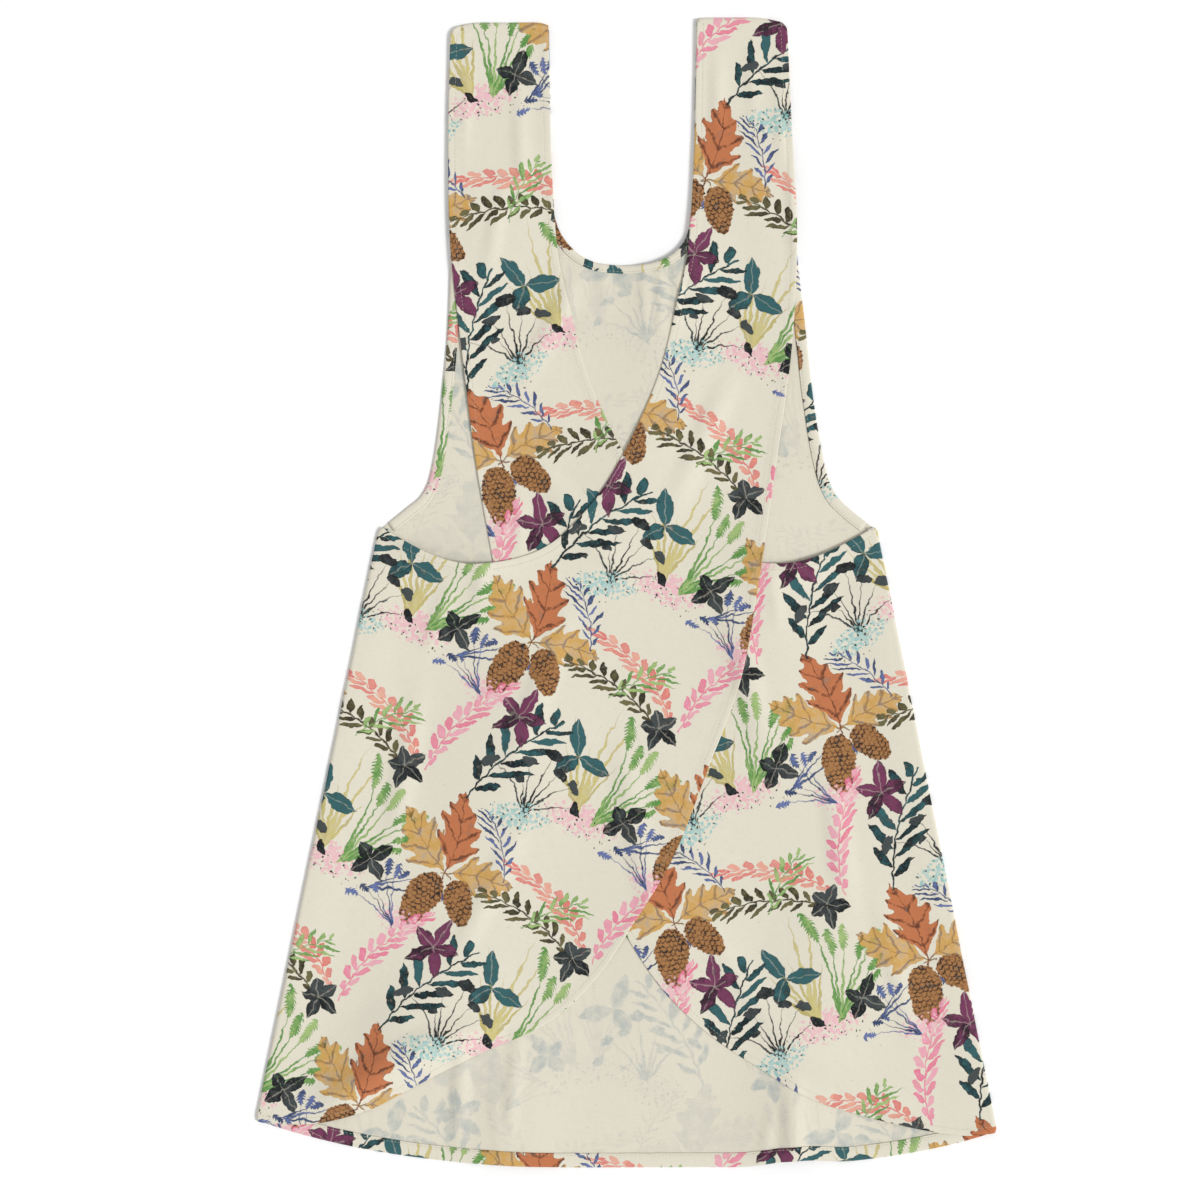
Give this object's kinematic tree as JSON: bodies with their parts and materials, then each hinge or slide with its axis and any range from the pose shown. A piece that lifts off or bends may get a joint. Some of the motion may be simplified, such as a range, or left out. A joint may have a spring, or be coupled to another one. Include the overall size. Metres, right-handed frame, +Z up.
{
  "type": "cross back apron",
  "caption": "Cotton canvas cross back apron lying flat, seen from behind: a front panel with straps under two overlapping back panels that each run on into a crossed strap.",
  "frame": {"origin": "on the surface that the apron lies on, under the middle of its outline", "axes": "+Y from the hem to the shoulders, +X to the right as seen from above, +Z up, away from the surface"},
  "size_m": [0.59, 0.914, 0.0101],
  "materials": {
    "printed_side": "cream cotton canvas with small dark seed flecks and a scattered print of leaves, grasses, cones and berries",
    "wrong_side": "unprinted wrong side of the same canvas, with the print showing through faintly in pale blue grey"
  },
  "bodies": {
    "root": {"front_panel": "wrong_side", "left_front_strap": "wrong_side", "right_front_strap": "wrong_side", "neck_facing": "printed_side", "left_armhole_facing": "printed_side", "right_armhole_facing": "printed_side", "front_hem": "printed_side", "right_back_panel": "printed_side", "left_back_strap": "printed_side", "left_back_panel": "printed_side", "right_back_strap": "printed_side", "left_side_seam": "printed_side", "right_side_seam": "printed_side", "left_shoulder_seam": "printed_side", "right_shoulder_seam": "printed_side"}
  },
  "joints": []
}
